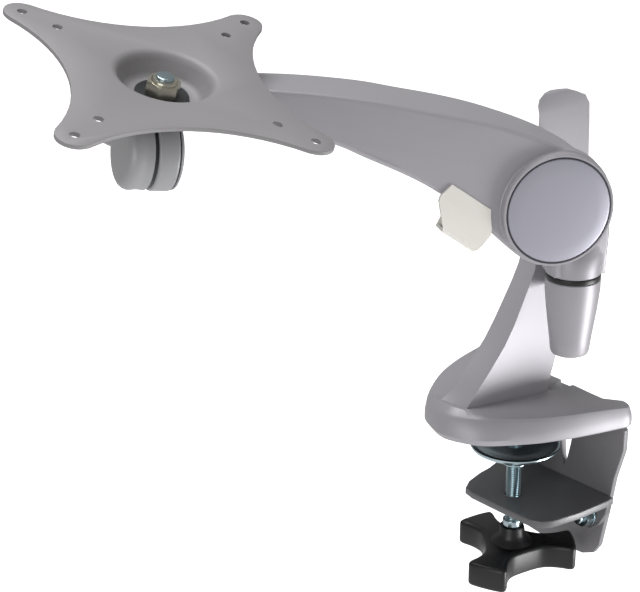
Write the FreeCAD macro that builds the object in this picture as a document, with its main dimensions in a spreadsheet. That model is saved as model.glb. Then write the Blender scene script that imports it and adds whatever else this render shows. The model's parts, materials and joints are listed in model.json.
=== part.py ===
"""Desk-clamp monitor arm, built as separate named pieces. Sizes in millimetres.

Frame: the origin lies on the desk contact plane, on the clamp screw axis.
+Z is up, -Y points to the rounded front of the base, +Y to the clamp plate.
"""
import FreeCAD, Part
import math
import os

from FreeCAD import Placement, Rotation, Vector

doc = FreeCAD.newDocument("MonitorArm")

# ---------------------------------------------------------------- sizes
SIZES = {
    "pan_axis_x": 35.0, "pan_axis_y": -2.1,
    "hub_x": 26.6, "hub_y": -19.3, "hub_height": 128.3,
    "arm_heading": -116.0,
    "head_x": -57.4, "head_y": -190.8, "head_height": 172.9,
    "tilt_offset": 30.0, "head_tilt": 15.52,
    "casting_lift": 0.2, "casting_height": 12.4,
    "boss_top_radius": 13.3, "boss_foot_radius": 9.5,
    "boss_foot": 45.8, "boss_top": 84.9,
    "post_radius": 6.0, "post_foot": 48.0, "post_top": 104.0,
    "bush_bore_radius": 6.05, "bush_radius": 8.0,
    "ring_radius": 13.3, "ring_thickness": 2.6,
    "steel_plate": 3.3, "shelf_thickness": 4.0, "pad_thickness": 1.5,
    "shelf_top": -44.75, "plate_face": 35.2,
    "bolt_radius": 3.0, "bolt_across": 10.0, "nut_height": 5.0,
    "screw_radius": 4.0, "screw_top": -19.5, "screw_foot": -66.0,
    "cup_radius": 23.0, "cup_top": -15.5, "cup_foot": -25.5,
    "knob_top": -71.5, "knob_foot": -85.0, "knob_hub_radius": 13.0,
    "tongue_width": 18.4, "slot_width": 20.8, "arm_width": 43.0,
    "neck_radius": 13.5, "neck_top": 95.3,
    "hub_rim_radius": 26.5, "cap_radius": 23.6, "seal_radius": 25.35,
    "lift_pin_radius": 6.0,
    "lug_radius": 14.0, "lug_foot": 18.0, "lug_top": 22.8,
    "housing_radius": 13.0, "housing_foot": -5.0, "housing_top": 17.1,
    "swivel_pin_radius": 5.0,
    "barrel_radius": 16.5, "tilt_bolt_radius": 4.0,
    "stud_radius": 4.0, "flange_radius": 8.0, "flange_top": 23.4,
    "vesa_top": 37.0, "vesa_thickness": 2.0, "vesa_half": 58.0,
    "vesa_waist": 41.8, "vesa_arc": 77.0, "vesa_corner": 8.0,
    "vesa_hole_radius": 2.15, "vesa_outer": 50.0, "vesa_inner": 37.5,
    "dish_radius": 21.2, "dish_depth": 10.0,
    "clip_wall": 1.6, "clip_length": 24.0,
}
sheet = doc.addObject("Spreadsheet::Sheet", "Sizes")
row = 1
for alias, value in SIZES.items():
    sheet.set("A%d" % row, alias)
    sheet.set("B%d" % row, str(value))
    sheet.setAlias("B%d" % row, alias)
    row = row + 1
doc.recompute()


def size(alias):
    """Value of a size held in the sheet."""
    return float(sheet.get(alias))


def link(alias):
    return "Sizes." + alias


# ---------------------------------------------------------------- helpers
def turned(origin, x_dir, z_dir):
    """Placement whose local X and Z lie along the given directions."""
    z_axis = Vector(z_dir).normalize()
    y_axis = z_axis.cross(Vector(x_dir)).normalize()
    x_axis = y_axis.cross(z_axis)
    return Placement(Vector(origin), Rotation(x_axis, y_axis, z_axis, "ZXY"))


def cylinder(name, radius, height, at=(0, 0, 0), along=(0, 0, 1)):
    piece = doc.addObject("Part::Cylinder", name)
    piece.setExpression("Radius", str(radius))
    piece.setExpression("Height", str(height))
    piece.Placement = Placement(Vector(at), Rotation(Vector(0, 0, 1), Vector(along)))
    return piece


def cone(name, foot, top, height, at=(0, 0, 0), along=(0, 0, 1)):
    piece = doc.addObject("Part::Cone", name)
    piece.setExpression("Radius1", str(foot))
    piece.setExpression("Radius2", str(top))
    piece.setExpression("Height", str(height))
    piece.Placement = Placement(Vector(at), Rotation(Vector(0, 0, 1), Vector(along)))
    return piece


def block(name, low, high):
    """Box between two opposite corners."""
    piece = doc.addObject("Part::Box", name)
    piece.Length = high[0] - low[0]
    piece.Width = high[1] - low[1]
    piece.Height = high[2] - low[2]
    piece.Placement.Base = Vector(low)
    return piece


def hexagon(name, across, height, at=(0, 0, 0), along=(0, 0, 1)):
    piece = doc.addObject("Part::Prism", name)
    piece.Polygon = 6
    piece.setExpression("Circumradius", "%s / sqrt(3)" % across)
    piece.setExpression("Height", str(height))
    piece.Placement = Placement(Vector(at), Rotation(Vector(0, 0, 1), Vector(along)))
    return piece


def fuse(name, pieces):
    piece = doc.addObject("Part::MultiFuse", name)
    piece.Shapes = pieces
    return piece


def cut(name, base, tool):
    piece = doc.addObject("Part::Cut", name)
    piece.Base = base
    piece.Tool = tool
    return piece


def cut_all(name, base, tools):
    return cut(name, base, fuse(name + "Cutters", tools))


def common(name, first, second):
    piece = doc.addObject("Part::Common", name)
    piece.Base = first
    piece.Tool = second
    return piece


def group(name, pieces):
    """Several identical pieces kept as separate solids."""
    piece = doc.addObject("Part::Compound", name)
    piece.Links = pieces
    return piece


def ring(name, outer, inner, height, at=(0, 0, 0), along=(0, 0, 1)):
    low = Vector(at) - Vector(along).normalize()
    disc = cylinder(name + "Disc", outer, height, at, along)
    hole = cylinder(name + "Hole", inner, "%s + 2" % height, low, along)
    return cut(name, disc, hole)


def prism(name, plane, outline, depth, both_ways=True):
    """Body padded from a closed outline on one of its own origin planes."""
    body = doc.addObject("PartDesign::Body", name + "Body")
    sketch = body.newObject("Sketcher::SketchObject", name + "Sketch")
    support = None
    for feature in body.Origin.OriginFeatures:
        if feature.Role == plane:
            support = feature
    sketch.AttachmentSupport = [(support, "")]
    sketch.MapMode = "FlatFace"
    corners = [Vector(p[0], p[1], 0) for p in outline]
    count = len(corners)
    for index in range(count):
        following = corners[(index + 1) % count]
        sketch.addGeometry(Part.LineSegment(corners[index], following), False)
    pad = body.newObject("PartDesign::Pad", name + "Pad")
    pad.Profile = sketch
    pad.setExpression("Length", str(depth))
    pad.Midplane = both_ways
    return body


def loft(name, sections):
    """Straight-sided solid through closed sections."""
    wires = []
    for index, section in enumerate(sections):
        wire = doc.addObject("Part::Polygon", "%sSection%d" % (name, index))
        wire.Nodes = [Vector(p) for p in section]
        wire.Close = True
        wires.append(wire)
    piece = doc.addObject("Part::Loft", name)
    piece.Sections = wires
    piece.Solid = True
    piece.Ruled = True
    return piece


# ---------------------------------------------------------------- axes
pan_x = size("pan_axis_x")
pan_y = size("pan_axis_y")
heading = math.radians(size("arm_heading"))
ALONG_ARM = Vector(math.cos(heading), math.sin(heading), 0)
HUB = Vector(size("hub_x"), size("hub_y"), size("hub_height"))
HEAD = Vector(size("head_x"), size("head_y"), size("head_height"))
TILT_AXIS = Vector(0.3359, 0.9323, -0.1357)
SWIVEL_AXIS = Vector(0.0462, 0.1276, 0.9904)
in_arm = turned(HUB, ALONG_ARM, (0, 0, 1))
in_head = turned(HEAD, TILT_AXIS, SWIVEL_AXIS)
tilt_local = Placement(Vector(0, -size("tilt_offset"), 0), Rotation(Vector(1, 0, 0), size("head_tilt")))
in_tilt = in_head.multiply(tilt_local)
head_in_arm = in_arm.inverse().multiply(in_head)
nodes = {}


def keep(node, piece, placement=None):
    """File a finished piece under its node name."""
    if placement is not None:
        piece.Placement = placement
    nodes[node] = piece
    return piece


# ---------------------------------------------------------------- base casting
lift = size("casting_lift")
top = size("casting_height")
FOOT = [(-3.5, -48.5), (7, -45), (15, -41), (22, -33), (32, -17), (38, -3), (42, 9), (46, 23), (48, 31),
        (44, 35.5), (39, 36), (36, 29.5), (12, 29.5), (9, 12), (6, 12), (3, 29.5), (-43, 29.5), (-46, 36),
        (-51, 35.5), (-55, 31), (-53, 23), (-49, 9), (-45, -3), (-39, -17), (-29, -33), (-22, -41), (-14, -45)]
CROWN = [(-3.5, -43), (6, -40), (13, -35), (20, -26), (28, -13), (35, -2), (41, 10), (44.5, 22), (46.5, 30),
         (43, 34.5), (39, 35), (36, 29.5), (12, 29.5), (9, 12), (6, 12), (3, 29.5), (-43, 29.5), (-46, 35),
         (-50, 34.5), (-53.5, 30), (-51.5, 22), (-48, 10), (-44, -2), (-38, -14), (-28, -31), (-21, -38), (-13, -41)]
skirt = loft("BaseSkirt", [[(x, y, lift) for x, y in FOOT], [(x, y, top) for x, y in CROWN]])
saddle_low = [(-24, -35, top - 1), (-14, -42, top - 1), (3, -42, top - 1), (15, -26, top - 1), (24, 8, top - 1),
              (12, 12, top - 1), (-14, 12, top - 1), (-34, 6, top - 1)]
saddle_high = [(-13, -31, 16), (-12, -32, 16), (2, -36, 16), (3, -34, 16), (11, 3, 16),
               (9, 12, 16), (-9, 12, 16), (-13, -10, 16)]
saddle = loft("BaseSaddle", [saddle_low, saddle_high])
FIN = [(14, -13, -31, 2, -36, 11, 12, -9, 12), (30, -9.5, -27, 3.5, -27, 8, 18, -7, 18),
       (45, -9, -14, 5, -14, 7.5, 22, -7, 22), (61, -8, -4, 5, -5, 7, 26, -6, 26),
       (79, -7, 5, 5, 4, 7, 30, -5, 30), (110, -6, 9, 5, 4.5, 7, 34, -4, 34),
       (147, -5, 13, 4.5, 4, 6, 37.5, -3.5, 37.5), (160, -4, 12, 4, 3, 5, 37.5, -3, 37.5),
       (165.5, -2.5, 14, 2.5, 7, 3.5, 28, -1.5, 28)]
fin_sections = []
for z, ax, ay, bx, by, cx, cy, dx, dy in FIN:
    fin_sections.append([(ax, ay, z), (bx, by, z), (cx, cy, z), (dx, dy, z)])
fin = loft("Fin", fin_sections)
boss_height = "Sizes.boss_top - Sizes.boss_foot"
boss = cone("PostBoss", link("boss_foot_radius"), link("boss_top_radius"), boss_height,
            (pan_x, pan_y, size("boss_foot")))
WEB = [(2, 56), (2, 84.5), (40, 84.5), (40, 62), (20, 58)]
web = prism("BossWeb", "XZ_Plane", WEB, "12")
web.Placement = Placement(Vector(pan_x, pan_y, 0), Rotation(Vector(0, 0, 1), 139.0))
casting_solid = fuse("CastingSolid", [skirt, saddle, fin, boss, web])
TREAD = [(-24, -28), (17, -28), (26, -13), (33, 4), (35, 12), (35, 35), (-35, 35), (-35, 4), (-33, -10)]
pocket_outline = []
for x, y in TREAD:
    pocket_outline.append((x * 1.03, y * 1.03 + (6 if y > 30 else 0)))
plate_pocket = prism("PlatePocket", "XY_Plane", pocket_outline, "10")
bush_bore = cylinder("BushBore", link("bush_radius"), "100", (pan_x, pan_y, 51.5))
foot_bore = cylinder("FootBore", "8.4", "10", (pan_x, pan_y, 42.5))
bush_bore.Height = 34
SCREW_SPOTS = [(-20, -16), (22, -4), (-26, 20), (26, 20)]
casting_cutters = [plate_pocket, foot_bore]
for index, (x, y) in enumerate(SCREW_SPOTS):
    casting_cutters.append(cylinder("CastingTap%d" % index, "2.5", "8", (x, y, 3)))
bush_bore.setExpression("Height", "Sizes.boss_top - 51.5 + 1")
casting_cutters.append(bush_bore)
keep("base_casting", cut_all("BaseCasting", casting_solid, casting_cutters))

# ---------------------------------------------------------------- clamp plate and pad
steel = size("steel_plate")
face = size("plate_face")
pad_height = size("pad_thickness")
LEG = [(-35, 4.8), (-35, -1), (-42, -5), (-42, -17), (-38, -35), (-35, -56), (-31, -76), (-25, -82), (-13, -85.5),
       (7, -85.5), (20, -84.5), (29, -76.5), (33, -55.5), (36.5, -34.5), (41.5, -17), (41.5, -5), (35, -1), (35, 4.8)]
leg = prism("PlateLeg", "XZ_Plane", LEG, link("steel_plate"))
leg.Placement.Base = Vector(0, face + steel / 2, 0)
tread = prism("PlateTread", "XY_Plane", TREAD, link("steel_plate"))
tread.Placement.Base = Vector(0, 0, pad_height + steel / 2)
plate_solid = fuse("ClampPlateSolid", [leg, tread])
NOTCH = [(2.5, -39.5), (6.5, -25), (12, 10), (1, 10), (0, -25)]
notch = prism("PlateNotch", "XZ_Plane", NOTCH, "40")
notch.Placement.Base = Vector(0, 37, 0)
plate_cutters = [notch]
BOLT_SPOTS = [(-24, -57.5), (24, -57.5)]
for index, (x, z) in enumerate(BOLT_SPOTS):
    plate_cutters.append(cylinder("PlateHole%d" % index, "3.2", "14", (x, 28, z), (0, 1, 0)))
for index, (x, y) in enumerate(SCREW_SPOTS):
    plate_cutters.append(cylinder("PlateScrewHole%d" % index, "2.6", "8", (x, y, 0)))
    plate_cutters.append(cone("PlateSink%d" % index, "5.2", "2.6", "2.6", (x, y, pad_height)))
keep("clamp_back_plate", cut_all("ClampBackPlate", plate_solid, plate_cutters))

pad_outline = [(x * 0.96, y * 0.96 - (2 if y > 30 else 0)) for x, y in TREAD]
pad_sheet = prism("PadSheet", "XY_Plane", pad_outline, link("pad_thickness"))
pad_sheet.Placement.Base = Vector(0, 0, pad_height / 2)
pad_slot = prism("PadSlot", "XY_Plane", [(4, 14), (10, 14), (12, 40), (1, 40)], "10")
keep("desk_pad", cut("DeskPad", pad_sheet, pad_slot))

screws = []
for index, (x, y) in enumerate(SCREW_SPOTS):
    shank = cylinder("BaseScrewShank%d" % index, "2.5", "9", (x, y, pad_height + 0.2))
    head = cone("BaseScrewHead%d" % index, "4.8", "2.5", "2.3", (x, y, pad_height + 0.05))
    screws.append(fuse("BaseScrew%d" % index, [shank, head]))
keep("base_plate_screws", group("BasePlateScrews", screws))

# ---------------------------------------------------------------- shelf bracket
shelf_z = size("shelf_top")
shelf_t = size("shelf_thickness")
SHELF = [(37, 35.2), (37.5, 29), (34, -9), (28, -14), (19, -15), (-15, -15), (-22, -12), (-27, -2), (-29, 12), (-34, 29),
         (-34, 35.2)]
shelf = prism("ShelfTop", "XY_Plane", SHELF, link("shelf_thickness"))
shelf.Placement.Base = Vector(0, 0, shelf_z - shelf_t / 2)
FLANGE = [(-34, -44.75), (-32, -60), (-27, -66), (26, -66), (31, -62), (35.5, -54), (37, -44.75)]
flange = prism("ShelfFlange", "XZ_Plane", FLANGE, link("shelf_thickness"))
flange.Placement.Base = Vector(0, face - shelf_t / 2, 0)
shelf_solid = fuse("ShelfSolid", [shelf, flange])
shelf_cutters = [cylinder("ShelfBore", "4.4", "12", (0, 0, shelf_z - 8))]
for index, (x, z) in enumerate(BOLT_SPOTS):
    shelf_cutters.append(cylinder("ShelfHole%d" % index, "3.2", "12", (x, 24, z), (0, 1, 0)))
keep("shelf_bracket", cut_all("ShelfBracket", shelf_solid, shelf_cutters))

front = face - shelf_t
bolts = []
nuts = []
washers = []
for index, (x, z) in enumerate(BOLT_SPOTS):
    shank = cylinder("BoltShank%d" % index, link("bolt_radius"), "16", (x, face + steel - 16, z), (0, 1, 0))
    head = hexagon("BoltHead%d" % index, link("bolt_across"), "4", (x, face + steel, z), (0, 1, 0))
    bolts.append(fuse("Bolt%d" % index, [shank, head]))
    washers.append(ring("Washer%d" % index, "6", "3.2", "1.2", (x, front - 1.2, z), (0, 1, 0)))
    hex_nut = hexagon("NutBlank%d" % index, link("bolt_across"), link("nut_height"), (x, front - 6.2, z), (0, 1, 0))
    nut_bore = cylinder("NutBore%d" % index, link("bolt_radius"), "9", (x, front - 8.2, z), (0, 1, 0))
    nuts.append(cut("Nut%d" % index, hex_nut, nut_bore))
keep("bracket_bolts", group("BracketBolts", bolts))
keep("bracket_washers", group("BracketWashers", washers))
keep("bracket_nuts", group("BracketNuts", nuts))

weld_blank = cylinder("WeldNutBlank", "5.8", "4.5", (0, 0, shelf_z - shelf_t - 4.5))
weld_bore = cylinder("WeldNutBore", "Sizes.screw_radius + 0.05", "12", (0, 0, shelf_z - shelf_t - 9))
keep("shelf_weld_nut", cut("ShelfWeldNut", weld_blank, weld_bore))

# ---------------------------------------------------------------- clamp screw
cup_high = size("cup_top")
cup_low = size("cup_foot")
cup_disc = cylinder("CupDisc", link("cup_radius"), "3.2", (0, 0, cup_high - 3.2))
cup_hub = cone("CupHub", "8", "14", "7", (0, 0, cup_low))
cup_solid = fuse("CupSolid", [cup_disc, cup_hub])
cup_dish = cone("CupDish", "12", "20.5", "2.2", (0, 0, cup_high - 1.8))
cup_bore = cylinder("CupBore", "Sizes.screw_radius + 0.05", "12", (0, 0, cup_low - 1))
keep("pressure_cup", cut_all("PressureCup", cup_solid, [cup_dish, cup_bore]))
cup_ring = ring("CupRingBlank", "6.5", "Sizes.screw_radius", "1.2", (0, 0, cup_low - 1.3))
keep("cup_retainer", cup_ring)

screw_length = "Sizes.screw_top - Sizes.screw_foot"
screw_rod = cylinder("ScrewRod", link("screw_radius"), screw_length, (0, 0, size("screw_foot")))
screw_collar = cylinder("ScrewCollar", "4.9", "4", (0, 0, -62.9))
screw_stub = cylinder("ScrewStub", "3.5", "12", (0, 0, -74))
screw_root = fuse("ClampScrew", [screw_rod, screw_stub])
keep("clamp_screw", screw_root)
collar_bore = cylinder("CollarBore", "Sizes.screw_radius", "8", (0, 0, -64))
keep("screw_collar", cut("ScrewCollarRing", screw_collar, collar_bore))

knob_height = "Sizes.knob_top - Sizes.knob_foot"
knob_hub = cylinder("KnobHub", link("knob_hub_radius"), knob_height, (0, 0, size("knob_foot")))
knob_collar = cylinder("KnobCollar", "6.5", "9.5", (0, 0, size("knob_top") - 1))
knob_parts = [knob_hub, knob_collar]
LOBE = [(0, -12), (12, -8.5), (24, -8.6), (30, -10.2), (32.3, -8.6), (33.2, 0), (32.3, 8.6), (30, 10.2), (24, 8.6), (12, 8.5),
        (0, 12)]
for index, angle in enumerate((171.0, 51.0, -69.0)):
    arm_prism = prism("KnobArm%d" % index, "XY_Plane", LOBE, knob_height)
    spin = Rotation(Vector(0, 0, 1), angle)
    middle = (size("knob_top") + size("knob_foot")) / 2
    arm_prism.Placement = Placement(Vector(0, 0, middle), spin)
    knob_parts.append(arm_prism)
knob_solid = fuse("KnobSolid", knob_parts)
knob_bore = cylinder("KnobBore", "3.5", "12", (0, 0, -74))
knob_socket = cylinder("KnobSocket", "4.0", "6", (0, 0, -66))
keep("clamp_knob", cut_all("ClampKnob", knob_solid, [knob_bore, knob_socket]))

# ---------------------------------------------------------------- post, bushes, thrust ring
boss_top = size("boss_top")
ring_top = boss_top + size("ring_thickness")
keep("thrust_ring", ring("ThrustRing", link("ring_radius"), "6.4", link("ring_thickness"), (pan_x, pan_y, boss_top)))
upper = ring("BushUpper", link("bush_radius"), link("bush_bore_radius"), "14", (pan_x, pan_y, boss_top - 14))
lower = ring("BushLower", link("bush_radius"), link("bush_bore_radius"), "12", (pan_x, pan_y, 52.5))
keep("post_bushes", group("PostBushes", [upper, lower]))
post_length = "Sizes.post_top - Sizes.post_foot"
post_rod = cylinder("PostRod", link("post_radius"), post_length, (pan_x, pan_y, size("post_foot")))
post_groove = ring("PostGroove", "8", "5", "1.2", (pan_x, pan_y, 50.0))
keep("pan_post", cut("PanPost", post_rod, post_groove))
keep("post_clip", ring("PostClip", "7.6", "5", "1.1", (pan_x, pan_y, 50.05)))
keep("post_washer", ring("PostWasher", "7.9", "6.1", "1.0", (pan_x, pan_y, 51.2)))

# ---------------------------------------------------------------- yoke (in the arm frame)
neck_u = (Vector(pan_x, pan_y, 0) - Vector(HUB.x, HUB.y, 0)).dot(ALONG_ARM)
neck_low = ring_top + 0.1 - HUB.z
neck_high = size("neck_top") - HUB.z
neck = cylinder("YokeNeck", link("neck_radius"), str(neck_high - neck_low), (neck_u, 0, neck_low))
TONGUE = [(-32, -36), (-33, -22), (-31, -8), (-24, -2), (-17, 4), (-14, 10), (-8, 15), (0, 17), (8, 15), (14, 10),
          (17, 0), (14, -10), (8, -17), (-4, -27), (-6.5, -36)]
tongue = prism("YokeTongue", "XZ_Plane", TONGUE, link("tongue_width"))
yoke_solid = fuse("YokeSolid", [neck, tongue])
post_socket = cylinder("PostSocket", link("post_radius"), "30", (neck_u, 0, neck_low - 6))
post_socket.setExpression("Height", "Sizes.post_top - Sizes.boss_top - Sizes.ring_thickness + 6 - 0.1")
lift_hole = cylinder("LiftHole", "8", "40", (0, -20, 0), (0, 1, 0))
grub_hole = cylinder("GrubHole", "2.5", "12", (neck_u + 5, 0, -36.5), (1, 0, 0))
keep("yoke_casting", cut_all("YokeCasting", yoke_solid, [post_socket, lift_hole, grub_hole]), in_arm)
grub = cylinder("GrubScrew", "2.5", "6.5", (neck_u + 6.1, 0, -36.5), (1, 0, 0))
keep("yoke_set_screw", fuse("YokeSetScrew", [grub, cylinder("GrubTip", "2", "6", (neck_u + 6.2, 0, -36.5), (1, 0, 0))]), in_arm)
half_tongue = size("tongue_width") / 2
lift_bush = ring("LiftBush", "8", "6.05", link("tongue_width"), (0, -half_tongue, 0), (0, 1, 0))
keep("lift_bush", lift_bush, None)
washer_near = ring("LiftWasherNear", "14", "6.3", "1", (0, half_tongue, 0), (0, 1, 0))
washer_far = ring("LiftWasherFar", "14", "6.3", "1", (0, -half_tongue - 1, 0), (0, 1, 0))
keep("lift_friction_washers", group("LiftFrictionWashers", [washer_near, washer_far]), in_arm)

# ---------------------------------------------------------------- arm casting (in the arm frame)
SIDE = [(-27.5, -2), (-27, 7), (-22, 17), (-9, 25), (3, 31), (15, 36), (30, 42), (46, 46), (65, 51), (84, 56),
        (110, 61), (132, 63.4), (145, 64.2), (160, 65), (175, 66.2),
        (187, 66.8), (189, 62.6), (174, 60.9), (150, 52), (103, 37), (90, 30.5), (74, 22.5),
        (62, 15.5), (52, 9), (44, 4), (27, -13), (21, -18), (17, -22), (12, -26), (5, -28.5), (-5, -28),
        (-15, -23.5), (-24, -14)]
PLAN = [(-30, -18), (-22, -21.5), (60, -21.5), (110, -18), (160, -13.5), (190, -12), (190, 12), (160, 13.5),
        (110, 18), (60, 21.5), (-22, 21.5), (-30, 18)]
side = prism("ArmSide", "XZ_Plane", SIDE, "60")
plan = prism("ArmPlan", "XY_Plane", PLAN, "240")
beam = common("ArmBeam", side, plan)
hub_drum = cylinder("HubDrum", "27.5", link("arm_width"), (0, -size("arm_width") / 2, 0), (0, 1, 0))
hub_rim = cylinder("HubRim", link("hub_rim_radius"), "6", (0, 20, 0), (0, 1, 0))
lug_height = "Sizes.lug_top - Sizes.lug_foot"
lug = cylinder("HeadLug", link("lug_radius"), lug_height)
lug.Placement = head_in_arm.multiply(Placement(Vector(0, 0, size("lug_foot")), Rotation()))
arm_solid = fuse("ArmSolid", [beam, hub_drum, hub_rim, lug])
SLOT = [(-45, -50), (26, -50), (26, 26), (15, 30), (3, 26), (-9, 20), (-18, 14), (-30, 12), (-45, 12)]
slot = prism("YokeSlot", "XZ_Plane", SLOT, link("slot_width"))
CHANNEL = [(30, -30), (30, 37), (46, 42), (65, 47), (84, 52), (110, 57), (132, 59.5), (168, 62), (168, 40), (103, -10)]
channel = prism("ArmChannel", "XZ_Plane", CHANNEL, "18")
WIDE_CHANNEL = [(32, -30), (32, 34), (46, 40), (65, 45), (84, 50), (110, 55), (110, 0)]
wide_channel = prism("ArmWideChannel", "XZ_Plane", WIDE_CHANNEL, "30")
cap_seat = cylinder("CapSeat", link("seal_radius"), "4", (0, 23.6, 0), (0, 1, 0))
nut_seat = cylinder("NutSeat", "12.5", "14", (0, 15, 0), (0, 1, 0))
pin_hole = cylinder("PinHole", link("lift_pin_radius"), "60", (0, -30, 0), (0, 1, 0))
head_seat = cylinder("PinHeadSeat", "10.5", "8", (0, -24.5, 0), (0, 1, 0))
lug_bore = cylinder("LugBore", "Sizes.swivel_pin_radius + 0.05", "20")
lug_bore.Placement = head_in_arm.multiply(Placement(Vector(0, 0, 12), Rotation()))
retainer_seat = cylinder("RetainerSeat", "9.5", "9")
retainer_seat.Placement = head_in_arm.multiply(Placement(Vector(0, 0, size("lug_top")), Rotation()))
arm_cutters = [retainer_seat, slot, channel, wide_channel, cap_seat, nut_seat, pin_hole, head_seat, lug_bore]
keep("arm_casting", cut_all("ArmCasting", arm_solid, arm_cutters), in_arm)

COVER = [(46, 8), (52, 12), (62, 18.5), (74, 25.5), (90, 33.5), (103, 40), (103, 41.8), (90, 35.3), (74, 27.3),
         (62, 20.3), (52, 13.8), (46, 9.8)]
keep("underside_cover", prism("UndersideCover", "XZ_Plane", COVER, "29.8"), in_arm)

pin_rod = cylinder("LiftPinRod", link("lift_pin_radius"), "40", (0, -17.5, 0), (0, 1, 0))
pin_head = cylinder("LiftPinHead", "10", "4", (0, -20.5, 0), (0, 1, 0))
keep("lift_pin", fuse("LiftPin", [pin_rod, pin_head]), in_arm)
nut_blank = hexagon("LiftNutBlank", "19", "6", (0, 16.6, 0), (0, 1, 0))
nut_hole = cylinder("LiftNutHole", link("lift_pin_radius"), "10", (0, 14, 0), (0, 1, 0))
keep("lift_nut", cut("LiftNut", nut_blank, nut_hole), in_arm)
keep("lift_disc_spring", ring("LiftDiscSpring", "11.5", "6.1", "1.5", (0, 15.05, 0), (0, 1, 0)), None)
cap_disc = cylinder("HubCapDisc", link("cap_radius"), "2.6", (0, 23.6, 0), (0, 1, 0))
cap_dome = cone("HubCapDome", link("cap_radius"), "20", "0.9", (0, 26.2, 0), (0, 1, 0))
keep("hub_cap", fuse("HubCap", [cap_disc, cap_dome]), in_arm)
keep("hub_seal_ring", ring("HubSealRing", "25.3", "23.65", "2.2", (0, 23.65, 0), (0, 1, 0)), None)
keep("far_hub_cap", cylinder("FarHubCap", "23.5", "1.6", (0, -23.1, 0), (0, 1, 0)), None)

CLIP = [(23.2, 5), (23.2, -11), (20, -14.8), (10, -14.8), (10, -7), (11.6, -7), (11.6, -13.2), (19.3, -13.2),
        (21.6, -10.4), (21.6, 5)]
clip = prism("CableClip", "YZ_Plane", CLIP, link("clip_length"))
clip_frame = in_arm.multiply(Placement(Vector(42.3, 0, 2.6), Rotation(Vector(0, 1, 0), -36)))
keep("cable_clip", clip, clip_frame)

# ---------------------------------------------------------------- swivel housing (in the head frame)
offset = size("tilt_offset")
housing_height = "Sizes.housing_top - Sizes.housing_foot"
housing = cylinder("SwivelHousingDrum", link("housing_radius"), housing_height, (0, 0, size("housing_foot")))
neck_block = block("SwivelNeck", (-0.9, -offset, -12), (8.2, -3, 12))
tilt_ring = cylinder("TiltRing", link("barrel_radius"), "9.3", (-0.9, -offset, 0), (1, 0, 0))
housing_solid = fuse("SwivelHousingSolid", [housing, neck_block, tilt_ring])
swivel_bore = cylinder("SwivelBore", link("swivel_pin_radius"), "40", (0, 0, -2))
ring_bore = cylinder("TiltRingBore", "Sizes.tilt_bolt_radius + 0.05", "20", (-5, -offset, 0), (1, 0, 0))
keep("swivel_housing", cut_all("SwivelHousing", housing_solid, [swivel_bore, ring_bore]), in_head)
pin_height = size("lug_top") + 1.5
swivel_rod = cylinder("SwivelRod", link("swivel_pin_radius"), str(pin_height + 2.0), (0, 0, -2))
keep("swivel_pin", swivel_rod, None)
keep("swivel_washer", ring("SwivelWasher", "12.6", "5.3", "0.8", (0, 0, size("housing_top"))), None)
retainer = ring("SwivelRetainer", "8", "5", "1.0", (0, 0, size("lug_top") + 0.2))
keep("swivel_retainer", retainer, None)
end_cap_disc = cylinder("EndCapDisc", "16.2", "1.0", (8.9, -offset, 0), (1, 0, 0))
end_cap_dome = cone("EndCapDome", "16.2", "11", "1.6", (9.9, -offset, 0), (1, 0, 0))
end_cap_solid = fuse("EndCapSolid", [end_cap_disc, end_cap_dome])
keep("tilt_end_cap", end_cap_solid, in_head)
keep("end_cap_gasket", cylinder("EndCapGasket", "15.2", "0.5", (8.4, -offset, 0), (1, 0, 0)), None)

# ---------------------------------------------------------------- tilt block (in the tilt frame)
drum_end = cone("TiltDrumEnd", "13.5", "16.5", "2.6", (-13.7, 0, 0), (1, 0, 0))
drum_body = cone("TiltDrumBody", "16.5", "16.2", "8.5", (-11.1, 0, 0), (1, 0, 0))
stem = cylinder("StudStem", link("flange_radius"), "Sizes.flange_top - 17.2", (0, 0, 17.2))
RIB = [(-11, 6), (-11, 16), (-8, 22.5), (7, 22.5), (7, 17.2), (-2.6, 17.2), (-2.6, 6)]
rib = prism("StudRib", "XZ_Plane", RIB, "15")
tilt_solid = fuse("TiltBlockSolid", [drum_end, drum_body, stem, rib])
tilt_bore = cylinder("TiltBlockBore", link("tilt_bolt_radius"), "20", (-11, 0, 0), (1, 0, 0))
stud_bore = cylinder("StudBore", link("stud_radius"), "20", (0, 0, 18.1))
keep("tilt_block", cut_all("TiltBlock", tilt_solid, [tilt_bore, stud_bore]), in_tilt)
keep("tilt_friction_washer", ring("TiltFrictionWasher", "15.6", "4.1", "1.6", (-2.55, 0, 0), (1, 0, 0)), None)
keep("tilt_bolt", cylinder("TiltBolt", link("tilt_bolt_radius"), "18.8", (-10.8, 0, 0), (1, 0, 0)), None)
keep("plate_stud", cylinder("PlateStud", link("stud_radius"), "18.6", (0, 0, 18.1)), None)

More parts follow.
